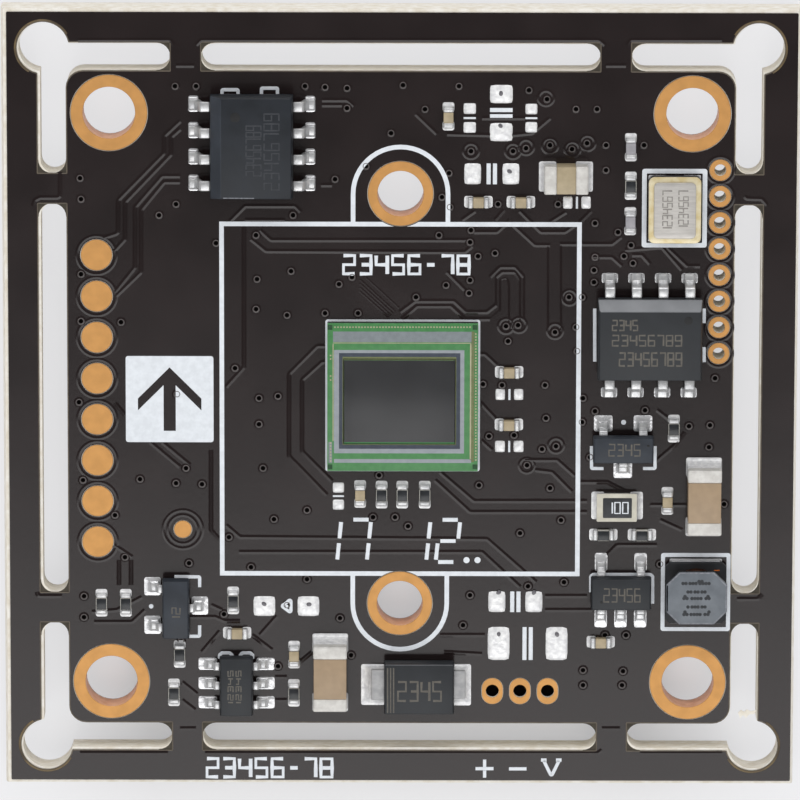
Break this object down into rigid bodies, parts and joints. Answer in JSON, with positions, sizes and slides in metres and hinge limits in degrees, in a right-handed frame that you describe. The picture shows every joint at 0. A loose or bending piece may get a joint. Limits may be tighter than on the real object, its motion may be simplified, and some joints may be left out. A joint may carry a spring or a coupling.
{
  "type": "camera module",
  "caption": "Square camera circuit board with a central image sensor, lens-holder holes, corner screw holes and a routed break-off frame.",
  "frame": {"origin": "under the board's centre, at the level the rear parts stand on", "axes": "+Z out of the front face, the way the sensor looks; +X right and +Y up as the front is seen upright"},
  "size_m": [0.038, 0.038, 0.0041],
  "materials": {
    "laminate": "satin",
    "solder_mask": "gloss",
    "gold": "satin",
    "solder": "gloss",
    "print": "matt",
    "dark_package": "matt",
    "sensor_green": "satin",
    "sensor_pixels": "satin",
    "cover_glass": "gloss",
    "moulded_epoxy": "matt",
    "tinned_lead": "satin",
    "tinned_end": "satin",
    "nickel_lid": "satin",
    "ferrite": "matt",
    "copper_wire": "gloss",
    "tan_ceramic": "matt",
    "alumina": "matt",
    "resistor_glaze": "satin",
    "socket_plastic": "matt"
  },
  "bodies": {
    "root": {"board_core": "laminate", "front_mask": "solder_mask", "mounting_hole_rings": "gold", "lens_hole_rings": "gold", "header_hole_rings": "gold", "cable_hole_rings": "gold", "contact_pads": "gold", "test_point": "gold", "open_solder_pads": "solder", "solder_lands": "solder", "holder_outline_print": "print", "arrow_print": "print", "part_frames_print": "print", "place_bars_print": "print", "sensor_joints": "solder", "sensor_base": "dark_package", "sensor_die": "sensor_green", "sensor_pixels": "sensor_pixels", "sensor_glass": "cover_glass", "driver_body": "moulded_epoxy", "driver_leads": "tinned_lead", "memory_body": "moulded_epoxy", "memory_leads": "tinned_lead", "transistor_left_body": "moulded_epoxy", "transistor_left_leads": "tinned_lead", "transistor_right_body": "moulded_epoxy", "transistor_right_leads": "tinned_lead", "regulator_body": "moulded_epoxy", "regulator_leads": "tinned_lead", "filter_body": "moulded_epoxy", "filter_leads": "tinned_lead", "diode_body": "moulded_epoxy", "diode_leads": "tinned_lead", "crystal_base": "dark_package", "crystal_rim": "gold", "crystal_lid": "nickel_lid", "inductor_core": "ferrite", "inductor_winding": "copper_wire", "inductor_terminals": "tinned_lead", "large_capacitor_bodies": "tan_ceramic", "large_capacitor_ends": "tinned_end", "medium_capacitor_bodies": "tan_ceramic", "medium_capacitor_ends": "tinned_end", "small_capacitor_bodies": "tan_ceramic", "small_capacitor_ends": "tinned_end", "ferrite_bead_bodies": "ferrite", "ferrite_bead_ends": "tinned_end", "sense_resistor_bases": "alumina", "sense_resistor_glazes": "resistor_glaze", "sense_resistor_ends": "tinned_end", "small_resistor_bases": "alumina", "small_resistor_glazes": "resistor_glaze", "small_resistor_ends": "tinned_end", "processor_body": "moulded_epoxy", "processor_lands": "solder", "socket_body": "socket_plastic", "socket_contacts": "tinned_lead", "rear_capacitor_bodies": "tan_ceramic", "rear_capacitor_ends": "tinned_end"}
  },
  "joints": []
}
